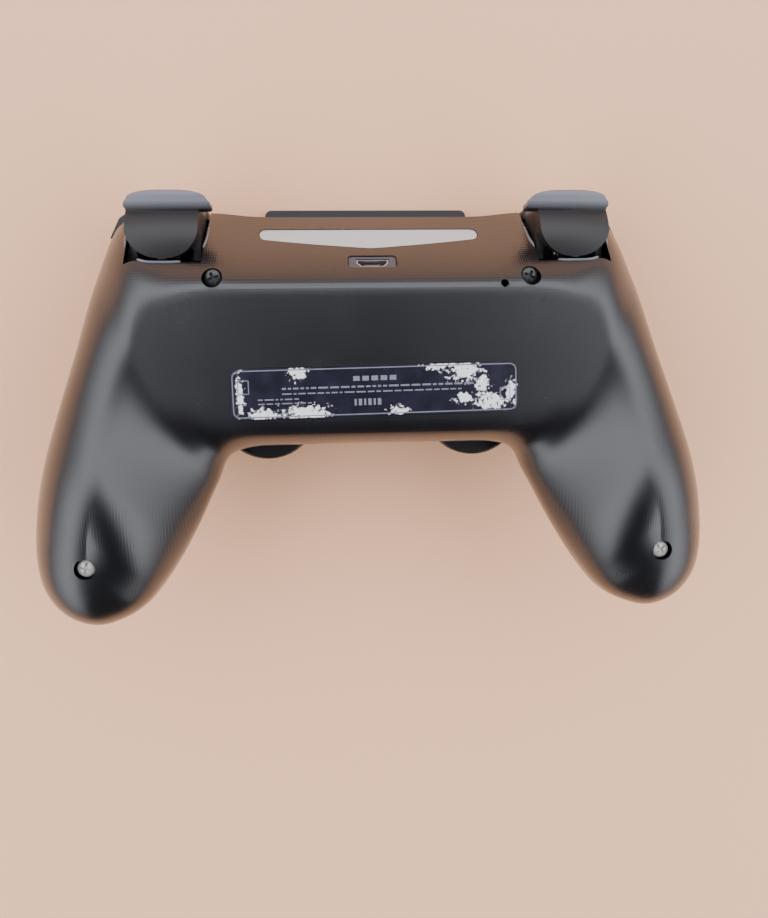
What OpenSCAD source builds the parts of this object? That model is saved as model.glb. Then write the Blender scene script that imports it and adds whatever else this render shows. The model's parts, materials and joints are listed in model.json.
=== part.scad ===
// Two-handed wireless game controller, lying face down on its two thumbsticks.
// +Z is up out of the back cover, +Y runs from the grips to the light bar,
// and the player's left hand is at +X. All lengths are millimetres.

/* [Body] */
// Width over both grips
body_w = 161; // [150:1:195]
// Depth of the shells, without the triggers
body_d = 98; // [92:1:118]
// Thickness from the face to the flat of the back cover
body_t = 31; // [30:0.5:38]
// How far the grips rise above the flat of the back cover
grip_rise = 12; // [6:0.5:16]
// Wall thickness of both shells
wall = 2; // [1.6:0.1:2.4]
// Gap along the parting line
seam_gap = 0.16; // [0.06:0.02:0.3]
// Radius of the shell screws
screw_r = 1.1; // [0.9:0.05:1.3]
// Radius of the wells over the screws
well_r = 2.3; // [2.1:0.1:2.5]

/* [Thumbsticks] */
// How far a thumbstick stands out of the face
stick_reach = 10; // [9.5:0.5:12]
// Radius of the thumb cap
cap_r = 9.2; // [8:0.1:9.6]
// Radius of the dome under the cap
dome_r = 9.7; // [9.4:0.1:9.9]
// Travel of the click under a thumbstick
stick_click = 0.5; // [0.3:0.1:0.6]
// Radius of the gimbal trunnions
trunnion_r = 1; // [0.8:0.05:1.1]

/* [Buttons] */
// Radius of an action button
button_r = 5; // [4:0.1:5.6]
// Distance of each action button from the middle of its cluster
button_spread = 10.4; // [10:0.1:11]
// How far the buttons stand out of the face
button_reach = 2.8; // [1.8:0.1:3.2]
// Clearance round every button
button_gap = 0.4; // [0.25:0.05:0.5]
// Travel of a button
button_travel = 1.1; // [0.8:0.1:1.2]
// Length of the direction pad from arm tip to arm tip
dpad_l = 25; // [22:0.5:26]
// Width of the touchpad
pad_w = 52; // [44:1:54]
// Depth of the touchpad
pad_d = 24; // [20:1:26]

/* [Triggers] */
// Width of a trigger inside its pocket
trigger_w = 16.4; // [14:0.2:16.6]
// Width of a trigger's lip
lip_w = 19.6; // [17:0.2:21]
// Radius of the pins that triggers and bumpers turn on
pin_r = 1.25; // [1:0.05:1.4]
// Running clearance round pins, trunnions and shafts
run_gap = 0.06; // [0.03:0.01:0.1]
// Clearance beside triggers and bumpers
side_gap = 0.7; // [0.4:0.1:0.8]

/* [Inside] */
// Radius of a rumble motor's can
motor_r = 6; // [5:0.2:7]
// Thickness of the circuit boards
board_t = 1.2; // [0.8:0.1:1.6]
// Length of the battery
battery_l = 48; // [40:1:50]
// Thickness of the battery
battery_t = 6.8; // [5:0.2:7]
// Radius of the headset socket's bore
jack_r = 1.8; // [1.76:0.01:1.9]
// Length of the headset socket
jack_l = 12; // [10:0.5:14]

/* [Hidden] */

// Heights above the table
face_z = stick_reach;
back_z = face_z + body_t;
grip_z = back_z + grip_rise;
seam_far = face_z + 6;
seam_slope = 0.22;

// Plan of the body: stations from the middle out to the end of a grip
kx = body_w / 161;
ky = body_d / 98;
spine = [[0, 19.6], [14, 19.6], [28, 19.6], [38, 18.6], [45, 16], [50, 11.6], [53.5, 5.6],
    [56.5, -1.4], [59.5, -9.4], [62, -17.4], [64, -25.4], [65, -32]];
outer = [[0, 47.6], [15, 47.6], [28, 47.7], [38, 48.6], [49, 48.7], [60, 47.6], [66.2, 32.6],
    [71.2, 14], [75.2, -0.4], [78, -12.4], [79.6, -23.4], [79.8, -33]];
tip = [[77.8, -41], [73, -46.8], [66.4, -49.3], [60, -48]];
inner = [[0, -8.6], [11, -8.6], [21, -8.7], [28.5, -8.9], [33.4, -10], [36.4, -12.4],
    [38.2, -17], [40.2, -21.4], [43, -27.4], [46.6, -34], [50.6, -40], [55, -45]];
// Share of the way from edge to spine over which each side is rounded, and how full the far
// slope of the back is: 0 is nearly straight and 1 is a quarter of an ellipse
round_far = [0.72, 0.72, 0.72, 0.71, 0.7, 0.71, 0.82, 0.9, 0.94, 0.94, 0.94, 0.94];
round_near = [0.23, 0.23, 0.24, 0.28, 0.4, 0.6, 0.8, 0.9, 0.94, 0.94, 0.94, 0.94];
fullness = [0, 0, 0, 0.05, 0.2, 0.55, 0.85, 1, 1, 1, 1, 1];
round_face_far = [0.16, 0.16, 0.16, 0.16, 0.14, 0.1, 0.1, 0.22, 0.5, 0.8, 0.92, 0.94];
round_face_near = [0.14, 0.14, 0.14, 0.16, 0.2, 0.28, 0.4, 0.6, 0.8, 0.92, 0.94, 0.94];
last = len(spine) - 1;
part_steps = 2;
arc_steps = 6;
flat_steps = 1;

// Smooth curve through the middle two of four values
function between(a, b, c, d, t) = b + 0.5 * t * (c - a + t * (2 * a - 5 * b + 4 * c - d
    + t * (3 * (b - c) + d - a)));
function mirrored_x(p) = is_list(p) ? [-p.x, p.y] : p;
// Value at station u of a list that is mirrored at u = 0 and runs straight on past its end
function along(list, u) = let (n = len(list) - 1, i = min(floor(u), n - 1), t = u - i,
    a = i == 0 ? mirrored_x(list[1]) : list[i - 1],
    d = i + 2 > n ? 2 * list[n] - list[n - 1] : list[i + 2])
    between(a, list[i], list[i + 1], d, t);
// The edge of one half as one list: out along the far side, round the tip, back along the near side
edge_points = concat(outer, tip, [for (i = [last : -1 : 0]) inner[i]]);
edge_last = len(edge_points) - 1;
function edge_at(u) = let (i = min(floor(u), edge_last - 1), t = u - i,
    a = i == 0 ? mirrored_x(edge_points[1]) : edge_points[i - 1],
    d = i + 2 > edge_last ? mirrored_x(edge_points[edge_last - 1]) : edge_points[i + 2])
    between(a, edge_points[i], edge_points[i + 1], d, t);
function spine_station(u) = u <= last ? u : u >= edge_last - last ? edge_last - u : last;
function on_far_side(u) = u <= edge_last / 2;
function scaled(p) = [p.x * kx, p.y * ky];
function smooth(t) = let (c = min(1, max(0, t))) c * c * (3 - 2 * c);
function seam_z(p) = seam_far + seam_slope * (47.6 * ky - p.y);
function back_crest(p) = back_z + (grip_z - back_z) * smooth((8 * ky - p.y) / (34 * ky))
    - 4 * smooth((-12 * ky - p.y) / (22 * ky));
function face_crest(p) = face_z + 12 * smooth((4 * ky - p.y) / (40 * ky));
function end_share(u) = let (m = edge_last / 2) smooth(1 - abs(u - m) / 5.5);

// One half of the edge, then its mirror image, as [edge point, spine point, station, side]
half_count = edge_last * part_steps;
function rib(i) = let (right = i <= half_count,
    u = (right ? i : 2 * half_count - i) / part_steps,
    e = scaled(edge_at(u)), s = scaled(along(spine, spine_station(u))))
    right ? [e, s, u] : [mirrored_x(e), mirrored_x(s), u];
ribs = [for (i = [0 : 2 * half_count - 1]) rib(i)];
spine_count = last * part_steps;
// Which spine point a rib ends at, counted from the left end of the spine to the right end
function spine_index(i) = let (right = i <= half_count,
    k = (right ? i : 2 * half_count - i),
    s = k <= spine_count ? k : k >= half_count - spine_count ? half_count - k : spine_count)
    spine_count + (right ? s : -s);
function slope(t, f) = let (a = 3 * (1 - t) * (1 - t) * t, b = 3 * (1 - t) * t * t)
    [a * 0.3 * (1 - f) + b * (0.8 - 0.352 * f) + t * t * t, a * (0.38 + 0.172 * f) + b + t * t * t];
// Point k of a rib: rises from the edge to the crest over its rounded share, then runs flat
function rib_point(r, k, inset, share, full, low, high, bulge) =
    let (away = r[1] - r[0], far = norm(away), dir = away / far,
    start = r[0] + dir * inset, reach = far - inset,
    q = k <= arc_steps ? slope(k / arc_steps, full) : [1, 1],
    flat = k <= arc_steps ? 0 : (k - arc_steps) / (flat_steps + 1),
    s = share * q[0] + (1 - share) * flat,
    plan = start + dir * (reach * s - bulge * sin(min(180, 300 * k / arc_steps))))
    [plan.x, plan.y, low + (high - low) * q[1]];
function back_point(r, k, t) = let (u = r[2], st = spine_station(u), far = on_far_side(u))
    rib_point(r, k, t, along(far ? round_far : round_near, st), far ? along(fullness, st) : 1,
    seam_z(r[0]) + seam_gap / 2, back_crest(r[1]) - t, 0);
function face_point(r, k, t) = let (u = r[2], st = spine_station(u), far = on_far_side(u))
    rib_point(r, k, t, along(far ? round_face_far : round_face_near, st), 1,
    seam_z(r[0]) - seam_gap / 2, face_crest(r[1]) + t, (0.3 + 1.2 * end_share(u)) * (t == 0 ? 1 : 0.9));
n_ribs = len(ribs);
n_rings = arc_steps + flat_steps + 1;
n_skin = n_ribs * n_rings + 2 * spine_count + 1;
// Points of one skin: rings from the edge inwards, then the spine
function skin_points(back, t) = concat(
    [for (k = [0 : n_rings - 1], i = [0 : n_ribs - 1])
        back ? back_point(ribs[i], k, t) : face_point(ribs[i], k, t)],
    [for (i = [-spine_count : spine_count]) let (p = scaled(along(spine, abs(i) / part_steps)))
        [sign(i) * p.x, p.y, back ? back_crest(p) - t : face_crest(p) + t]]);
// Triangles of one skin that starts at point o, turned over if flip
function turn(f, flip) = flip ? [f[2], f[1], f[0]] : f;
function skin_faces(o, flip) = concat(
    [for (k = [0 : n_rings - 2], i = [0 : n_ribs - 1], h = [0, 1])
        let (j = (i + 1) % n_ribs, a = o + k * n_ribs + i, b = o + k * n_ribs + j)
        turn(h == 0 ? [a, b, b + n_ribs] : [a, b + n_ribs, a + n_ribs], flip)],
    [for (i = [0 : n_ribs - 1], h = [0, 1])
        let (j = (i + 1) % n_ribs, r = o + (n_rings - 1) * n_ribs, c = o + n_rings * n_ribs,
        p = c + spine_index(i), q = c + spine_index(j))
        if (h == 0 || p != q) turn(h == 0 ? [r + i, r + j, q] : [r + i, q, p], flip)]);
function rim_faces(o, flip) = [for (i = [0 : n_ribs - 1], h = [0, 1])
    let (j = (i + 1) % n_ribs) turn(h == 0 ? [i, o + i, o + j] : [i, o + j, j], flip)];
// A hollow half of the body, with its outer skin t_out and its inner skin t_in below the true surface
module half_shell(back, t_out, t_in)
    polyhedron(points = concat(skin_points(back, t_out), skin_points(back, t_in)),
        faces = concat(skin_faces(0, !back), skin_faces(n_skin, back), rim_faces(n_skin, !back)),
        convexity = 8);

// Places of the parts, all measured from the plan of the body
stick_at = [26.4, -0.4];
stick_pivot = face_z + 7.5;
neck_hole = 8.2;
cup_r = dome_r + 3.2;
cluster_at = [48.8 * kx, 24 * ky];
button_tip = face_z - button_reach;
// Every button has a flange behind the face that stops it from falling out
flange_low = face_z + wall + 0.3;
flange_high = flange_low + 1.1;
menu_at = [32.4 * kx, 37.6 * ky];
home_at = [0, 3 * ky];
trigger_x = 47.9 * kx;
lip_shift = -1.2;
trigger_y = 37.5 * ky;
trigger_z = face_z + 12.6;
trigger_r = 13.4;
skirt_end = 101;
deck_z = face_z + 9;
deck_t = 1.2;
bumper_low = face_z + wall + 0.4;
bumper_post = [trigger_x - trigger_w / 2 + 2.6, 48.6 * ky - 4.2];
board_z = face_z + 16.4;
motor_at = [60 * kx, -16 * ky, face_z + 23];
screws_far = [36.4 * kx, 30.4 * ky, back_z - 4.4];
near_at = [65.4 * kx, -33.2 * ky];
screws_near = concat(near_at, back_crest(near_at) - 2.6);
jack_at = [-9, -8.2 * ky, face_z + 9.4];
rim_y = stick_at.y + cap_r - 2.4;
lean = atan2(button_tip, cluster_at.y + button_spread + button_r - 0.6 - rim_y);

// Everything is drawn level and then laid down on thumbsticks and buttons
module at_rest()
    translate([0, -rest_y, rest_z])
    rotate([-lean, 0, 0])
    children();
rest_z = rim_y * sin(lean);
// Puts the middle of the whole outline over the middle of the frame
rest_y = 7.653;
module on_left() children();
module on_right() mirror([1, 0, 0]) children();
module both_sides()
    for (side = [0, 1]) mirror([side, 0, 0]) children();

module disc(r, low, high, at = [0, 0], n = 40)
    translate([at.x, at.y, low]) cylinder(r = r, h = high - low, $fn = n);
module block(w, d, low, high, at = [0, 0])
    translate([at.x - w / 2, at.y - d / 2, low]) cube([w, d, high - low]);
module rod_x(r, l, n = 32) rotate([0, 90, 0]) cylinder(r = r, h = l, center = true, $fn = n);
module rod_y(r, l, n = 32) rotate([90, 0, 0]) cylinder(r = r, h = l, center = true, $fn = n);
module rounded(w, d, r) offset(r, $fn = 24) square([w - 2 * r, d - 2 * r], center = true);
module bar(w, l, low, high, at, turn = 0)
    translate([at.x, at.y, low]) rotate(turn) union() {
        translate([-w / 2, -l / 2 + w / 2, 0]) cube([w, l - w, high - low]);
        for (s = [-1, 1]) translate([0, s * (l - w) / 2, 0])
            cylinder(d = w, h = high - low, $fn = 24);
    }
module cross(w, l, low, high)
    for (turn = [0, 90]) rotate(turn) block(w, l, low, high);

// Plan of the light window: straight far edge, shallow point towards the middle
module light_plan(grow)
    offset(delta = grow) polygon([[-25.4, 43.5], [25.4, 43.5], [26.4, 42.9], [26.6, 42], [26.2, 41.1],
        [25.2, 40.5], [14, 39.2], [0, 38], [-14, 39.2], [-25.2, 40.5], [-26.2, 41.1], [-26.6, 42],
        [-26.4, 42.9]] * [[kx, 0], [0, ky]]);
module bumper_plan(grow, inward)
    offset(delta = grow) polygon(concat(
        [for (u = [3 : 0.35 : 5.45]) max_x(scaled(edge_at(u)) + [0.3, 0.3])],
        [for (u = [5.45 : -0.35 : 3]) max_x(scaled(edge_at(u)) - [2, 2.2 + inward])]));
function max_x(p) = [max(p.x, trigger_x - trigger_w / 2 + 0.1), p.y];

boss_drop = 5;
module screw_bosses(r)
    both_sides() {
        disc(r, face_z + wall / 2, screws_far.z - boss_drop - 0.1, screws_far, 24);
        disc(r, face_crest(screws_near) + wall / 2, screws_near.z - boss_drop - 0.1, screws_near, 24);
    }
module back_shell()
    color("#17181d") difference() {
        union() {
            half_shell(true, 0, wall);
            intersection() {
                both_sides() {
                    disc(well_r + 0.4, screws_far.z - boss_drop, back_z, screws_far, 24);
                    disc(well_r + 1.2, screws_near.z - boss_drop, grip_z, screws_near, 24);
                }
                solid_half(true);
            }
        }
        both_sides() {
            for (s = [screws_far, screws_near]) {
                disc(well_r, s.z, s.z + 20, s, 24);
                disc(screw_r + 0.15, s.z - boss_drop - 1, s.z + 1, s, 24);
            }
            translate([0, 0, deck_z]) linear_extrude(60) pocket_plan();
            translate([trigger_x, trigger_y, trigger_z]) rod_x(trigger_r + 0.4, trigger_w + 1, 64);
            bumper_slot();
        }
        translate([0, 0, face_z]) linear_extrude(40) light_plan(0.15);
        usb_recess();
        disc(0.9, back_z - 12, back_z + 2, reset_at, 20);
    }
reset_at = [30 * kx, 28.6 * ky];
module pocket_plan()
    translate([trigger_x, trigger_y - 3 * ky + 20])
    rounded(trigger_w + 2 * side_gap, 40, 6.4);
module bumper_slot()
    translate([0, 0, bumper_low - 0.4])
    linear_extrude(deck_z - bumper_low + 0.4 + (deck_z > seam_far ? 0.4 : 0))
    bumper_plan(side_gap, 3);
module solid_half(back)
    polyhedron(points = skin_points(back, 0),
        faces = concat(skin_faces(0, !back), [[for (i = [0 : n_ribs - 1]) back ? n_ribs - 1 - i : i]]),
        convexity = 6);

module front_shell()
    color("#1b1c21") difference() {
        union() {
            half_shell(false, 0, wall);
            both_sides() translate([stick_at.x, stick_at.y, face_z - 0.2]) union() {
                cylinder(r1 = cup_r - 1.6, r2 = cup_r, h = 2.6, $fn = 48);
                translate([0, 0, 2.6]) cylinder(r = cup_r, h = 8.1, $fn = 48);
            }
            screw_bosses(2.2);
        }
        both_sides() {
            translate([stick_at.x, stick_at.y, stick_pivot]) {
                intersection() {
                    sphere(r = dome_r + 0.4, $fn = 48);
                    translate([-15, -15, -15 - 2.9]) cube([30, 30, 15]);
                }
                translate([0, 0, -3]) cylinder(r = dome_r + 0.4, h = 4.6, $fn = 48);
                translate([0, 0, -20]) cylinder(r = neck_hole, h = 20, $fn = 48);
            }
            intersection() {
                disc(dome_r + 0.4, stick_pivot + 1, stick_pivot + 8, stick_at, 48);
                translate([stick_at.x - 20, -6.6 * ky, 0]) cube([40, 40, 60]);
            }
            for (s = [screws_far, screws_near]) disc(screw_r, s.z - 14, s.z, s, 20);
            bumper_slot();
            translate([trigger_x, trigger_y + 30, deck_z + 30])
                cube([trigger_w + 2 * side_gap, 60, 60], center = true);
        }
        translate([cluster_at.x, cluster_at.y, 0])
            cross(8.4 + 2.2, dpad_l + 2.2, face_z - 2, face_z + 6);
        for (b = button_places()) {
            disc(button_r + button_gap, face_z - 2, face_z + 6, b);
            disc(button_r + 0.9, face_z + wall, face_z + 5.2, b);
        }
        for (s = [-1, 1]) bar(3 + 2 * button_gap, 7 + 2 * button_gap, face_z - 2, face_z + 6,
            [s * menu_at.x, menu_at.y]);
        disc(4.6 + button_gap, face_z - 2, face_z + 6, home_at);
        block(pad_w + 2 * button_gap, pad_d + 6, face_z - 2, face_z + 6.2,
            [0, pad_y - pad_d / 2 - button_gap + 3]);
        for (i = [-2 : 2], j = [-1 : 1]) if (abs(i) + abs(j) < 3)
            disc(0.7, face_z - 1, face_z + 4, speaker_at + [2.2 * i, 2.2 * j], 12);
        translate([jack_at.x, jack_at.y, jack_at.z]) rod_y(3.3, 14);
        block(13.6, 14, face_z + 6.6, face_z + 12.4, [5, jack_at.y]);
    }
speaker_at = [0, 15.6 * ky];
function button_places() = let (c = [-cluster_at.x, cluster_at.y])
    [for (a = [90, 270, 180, 0]) c + button_spread * [cos(a), sin(a)]];

module mid_frame()
    color("#3a3d40") difference() {
        union() {
            translate([0, 9.6, board_z + board_t + 0.6]) linear_extrude(1.4)
                square([66, 28], center = true);
            for (x = [-31, 31], y = [-2, 21]) disc(2, board_z + board_t, board_z + board_t + 1, [x, y], 24);
            for (s = [-1, 1]) block(1.4, 26, board_z + board_t + 1, board_z + 9,
                [s * (battery_l / 2 + 1.2), 11]);
        }
        disc(1.6, board_z, board_z + 20, [-31, 21], 24);
        block(10, 6, board_z, board_z + 6, [0, 22]);
    }
battery_low = board_z + board_t + 2.1;
module battery()
    color("#2e3b52") translate([0, 11, battery_low + battery_t / 2])
    cube([battery_l, 25, battery_t], center = true);
module battery_lead()
    color("#b02a2a") union() {
        for (i = [0, 1]) translate([-20 + 1.6 * i, 25.4, battery_low + 2]) rod_y(0.5, 3.6, 12);
        block(5, 2.4, battery_low - 0.2, battery_low + 3.2, [-19.2, 28.2]);
    }
module main_board()
    color("#1f5a3a") difference() {
        union() {
            translate([0, 0, board_z]) linear_extrude(board_t)
                translate([0, 9.4]) square([76, 29.4], center = true);
            block(9, 9, board_z - 1.2, board_z, [4, 8]);
            block(5, 7, board_z - 1, board_z, [-8, 16]);
            both_sides() block(4, 8, board_z - 2, board_z, [14, 17]);
        }
        disc(1.3, board_z - 1, board_z + 5, [-31, 21], 24);
        both_sides() disc(3, board_z - 3, board_z + 5, screws_far, 24);
    }
module board_screw()
    color("#9aa0a6") union() {
        disc(1, board_z - 3, board_z + board_t + 2.2, [-31, 21], 24);
        disc(2, board_z + board_t + 2.05, board_z + board_t + 3.4, [-31, 21], 24);
    }
module port_board()
    color("#1f4f6a") union() {
        block(30, 5.6, face_z + 18.4, face_z + 19.6, [0, 30.3 * ky]);
        both_sides() block(2, 2, face_z + 19.6, face_z + 20.4, [9, 31.6 * ky]);
    }
module port_cable()
    color("#d8d2c0") union() {
        block(8, 0.3, board_z + board_t, face_z + 18.4, [0, 26.6 * ky]);
        block(8, 3, face_z + 18.1, face_z + 18.4, [0, 26.6 * ky + 1.35]);
        block(8, 3.2, board_z + board_t, board_z + board_t + 0.3, [0, 26.6 * ky - 1.6]);
    }
// The USB socket looks out square to the far slope
usb_mouth = [0, 34 * ky, face_z + 24.9];
usb_tilt = 46;
module usb_shape(grow)
    offset(delta = grow) polygon([[-3.7, 1.3], [3.7, 1.3], [3.7, 0], [2.6, -1.3], [-2.6, -1.3], [-3.7, 0]]);
module at_usb()
    translate(usb_mouth) rotate([-usb_tilt, 0, 0]) children();
module usb_port()
    color("#b8bcc2") at_usb() union() {
        translate([0, 0, -4.8]) difference() {
            linear_extrude(4.6) usb_shape(0);
            translate([0, 0, 0.5]) linear_extrude(5) usb_shape(-0.3);
        }
        translate([-1.8, 0.1, -4.5]) cube([3.6, 0.5, 3.5]);
    }
module usb_bezel()
    color("#454a55") at_usb() difference() {
        translate([0, 0, -2.6]) linear_extrude(2.6) rounded(11, 4.4, 1);
        translate([0, 0, -4]) linear_extrude(8) usb_shape(0.1);
    }
module usb_recess()
    at_usb() {
        translate([0, 0, -2.7]) linear_extrude(8) rounded(11.4, 4.8, 1);
        translate([0, 0, -6]) linear_extrude(8) usb_shape(0.3);
    }
module light_bar()
    color("#e4e6ea") intersection() {
        half_shell(true, 0.2, wall + 0.8);
        translate([0, 0, face_z]) linear_extrude(40) light_plan(0);
    }
module expansion_port()
    color("#2b2d31") difference() {
        block(13, 8, face_z + 7, face_z + 12, [5, jack_at.y + 4.2]);
        block(10.6, 6, face_z + 8.2, face_z + 10.8, [5, jack_at.y + 2]);
    }
module headset_jack()
    color("#26272b") difference() {
        union() {
            block(7, jack_l - 3.4, jack_at.z - 3, jack_at.z + 3,
                [jack_at.x, jack_at.y + 1.7 + jack_l / 2]);
            translate(jack_at + [0, 2, 0]) rod_y(3, 4);
        }
        translate(jack_at + [0, jack_l / 2 - 0.6, 0]) rod_y(jack_r, jack_l);
    }
module speaker()
    color("#4b4d52") union() {
        disc(6.2, face_z + 2.4, face_z + 4.4, speaker_at);
        disc(4, face_z + 4.4, face_z + 6.2, speaker_at);
    }
module reset_switch()
    color("#6a6d72") difference() {
        block(4, 4, back_z - 9.4, back_z - 6, reset_at);
        disc(1, back_z - 8, back_z, reset_at, 24);
    }
module reset_plunger()
    color("#222327") disc(0.8, back_z - 7.4, back_z - 5.4, reset_at, 24);
module rating_label()
    color("#20243a") translate([0, 4.6 * ky, back_z]) rotate([0, 0, 0.8])
    linear_extrude(0.12) rounded(66, 11.4, 1.6);
module shell_screws()
    color("#8d9096") both_sides() for (s = [screws_far, screws_near]) difference() {
        union() {
            disc(screw_r - 0.02, s.z - 13, s.z + 0.4, s, 24);
            disc(well_r - 0.2, s.z + 0.01, s.z + 1.5, s, 32);
        }
        translate([s.x, s.y, 0]) rotate(20) cross(0.7, 2.6, s.z + 0.8, s.z + 3);
    }

// Controls on the face
pad_y = 50 * ky;
module touchpad()
    color("#222328") union() {
        translate([0, pad_y - pad_d / 2, face_z]) linear_extrude(1.8) rounded(pad_w, pad_d, 1.6);
        block(pad_w - 8, pad_d - 7, face_z + 1.8, face_z + 2.8, [0, pad_y - pad_d / 2]);
        disc(2, face_z + 2.8, face_z + 3.6, [0, pad_y - 10], 24);
    }
module touchpad_switch()
    color("#5a5d63") union() {
        block(6, 6, face_z + 5.4, face_z + 7.2, [0, pad_y - 10]);
        block(pad_w - 6, 10, face_z + 7.2, face_z + 8.2, [0, pad_y - 13]);
        disc(1.6, face_z + 4.6, face_z + 5.4, [0, pad_y - 10], 24);
    }
pivot_z = face_z + 7;
module dpad()
    color("#26272b") translate(concat(cluster_at, 0)) difference() {
        union() {
            cross(8.4, dpad_l, button_tip + 0.4, flange_high);
            disc(11.2, flange_high, flange_high + 1);
            for (s = [-1, 1]) block(3.2, 1.4, face_z + 4.4, pivot_z + 1.6, [0, 3.4 * s]);
        }
        translate([0, 0, button_tip - 1.6]) scale([1, 1, 0.35]) sphere(r = 6.5, $fn = 40);
        translate([0, 0, pivot_z]) rod_y(1 + run_gap, 12);
    }
module dpad_pivot()
    color("#c8cacd") translate(concat(cluster_at, pivot_z)) union() {
        rod_y(1, 8.6);
        rod_x(1, 8.6);
        translate([-1.3, -1.3, -1.1]) cube([2.6, 2.6, 2.2]);
    }
module dpad_base()
    color("#53565c") translate(concat(cluster_at, 0)) difference() {
        union() {
            block(20, 20, pivot_z + 2.6, pivot_z + 3.8);
            for (s = [-1, 1]) block(1.4, 3.2, pivot_z - 1.6, pivot_z + 2.6, [3.4 * s, 0]);
            for (a = [0 : 90 : 270]) disc(2, face_z + 6.2, pivot_z + 2.6, 7.9 * [cos(a), sin(a)], 24);
        }
        translate([0, 0, pivot_z]) rod_x(1 + run_gap, 12);
    }
module button_base()
    color("#53565c") union() {
        translate([-cluster_at.x, cluster_at.y, 0]) cross(7, 2 * button_spread + 5, face_z + 7.4, face_z + 8.4);
        for (b = button_places()) disc(2.1, flange_high + button_travel + 0.4, face_z + 7.4, b, 24);
    }
module action_button(i)
    color("#2a2b30") let (b = button_places()[i]) union() {
        disc(button_r, button_tip + 0.6, flange_high, b);
        disc(button_r - 0.6, button_tip, button_tip + 0.6, b);
        disc(button_r + 0.5, flange_low, flange_high, b);
    }
module menu_button(s)
    color("#2a2b30") union() {
        bar(3, 7, face_z - 0.9, flange_high - 0.2, [s * menu_at.x, menu_at.y]);
        bar(4.4, 8.4, flange_low, flange_high - 0.2, [s * menu_at.x, menu_at.y]);
    }
module home_button()
    color("#2a2b30") union() {
        disc(4.6, face_z - 0.6, flange_high - 0.2, home_at);
        disc(5.4, flange_low, flange_high - 0.2, home_at);
    }

// A thumbstick turns in a yoke, the yoke turns in a cradle, the cradle clicks into the module
module stick()
    color("#3b3836") translate([stick_at.x, stick_at.y, 0]) difference() {
        union() {
            rotate_extrude($fn = 56)
                polygon([[0, 1.1], [4, 0.9], [cap_r - 3.2, 0.2], [cap_r - 2.4, 0], [cap_r - 0.8, 0.6],
                    [cap_r, 1.8], [cap_r - 0.2, 2.8], [cap_r - 1.2, 3.8], [5.2, 4.2], [4.2, 5.2],
                    [4.2, 9.6], [0, 9.6]]);
            difference() {
                translate([0, 0, stick_pivot]) sphere(r = dome_r, $fn = 48);
                translate([0, 0, stick_pivot]) sphere(r = dome_r - 0.9, $fn = 48);
                translate([-20, -20, stick_pivot - 2.5]) cube([40, 40, 20]);
            }
            disc(1.5, 4, stick_pivot + 1, [0, 0], 24);
            translate([0, 0, stick_pivot]) rod_x(2.1, 5);
        }
        translate([0, 0, stick_pivot]) rod_x(trunnion_r + run_gap, 12);
    }
module stick_yoke()
    color("#c8cacd") translate([stick_at.x, stick_at.y, stick_pivot]) union() {
        rod_x(trunnion_r, 7);
        for (s = [-1, 1]) {
            translate([3.2 * s, 0, 0]) cube([1, 7.4, 2.4], center = true);
            translate([0, 3.2 * s, 0]) cube([7.4, 1, 2.4], center = true);
            translate([0, 4.3 * s, 0]) rod_y(trunnion_r, 1.6);
        }
    }
module stick_cradle()
    color("#5d6066") translate([stick_at.x, stick_at.y, 0]) difference() {
        union() {
            for (s = [-1, 1]) block(3.4, 0.9, stick_pivot - 1.7, stick_pivot + 3.6, [0, 4.4 * s]);
            disc(4.6, stick_pivot + 3.6, stick_pivot + 4.6);
            block(3.4, 9.7, stick_pivot + 3.6, stick_pivot + 4.6);
        }
        translate([0, 0, stick_pivot]) rod_y(trunnion_r + run_gap, 14);
    }
module stick_module()
    color("#9a9da3") translate([stick_at.x, stick_at.y, 0]) difference() {
        block(11.6, 11.6, stick_pivot + 3.2, board_z);
        block(10.4, 10.4, stick_pivot, stick_pivot + 4.6 + stick_click + 0.2);
    }

// Trigger cheeks and skin share one side profile; the skirt is an arc round the pin
function skirt(r, from, to) = [for (a = [from : (to - from) / 12 : to]) r * [cos(a), sin(a)]];
module trigger_profile(t)
    offset(delta = -t) polygon(concat(
        [[2.6, -2.2], [10.4, -1.6], [10.2, 2], [10.8, 5.5], [12.2, 8.6], [13.2, 10], [13.2, 11],
            [12.2, 11.7], [10.6, 11.4]],
        skirt(trigger_r, 50, skirt_end), [[-2.2, 6], [-2.2, 0], [-1.6, -2]]));
module trigger_plate(x, w, t)
    translate([x - w / 2, 0, 0]) rotate([90, 0, 90]) linear_extrude(w) trigger_profile(t);
module trigger()
    color("#303238") translate([trigger_x, trigger_y, trigger_z]) difference() {
        union() {
            difference() {
                trigger_plate(0, trigger_w, 0);
                trigger_plate(0, trigger_w - 3.6, 1.6);
                translate([-trigger_w / 2 + 1.8, -20, -20]) cube([trigger_w - 3.6, 22, 30]);
                translate([-trigger_w / 2 + 1.8, -20, -20]) cube([trigger_w - 3.6, 30, 22]);
            }
            lip();
            for (s = [-1, 1]) translate([s * (trigger_w / 2 - 0.9), 0, 0]) rod_x(2.3, 1.8);
        }
        rod_x(pin_r + run_gap, 40);
    }
module lip()
    intersection() {
        trigger_plate(lip_shift, lip_w, 0);
        translate([-20, 9, 6.5]) cube([40, 10, 10]);
    }
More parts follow.
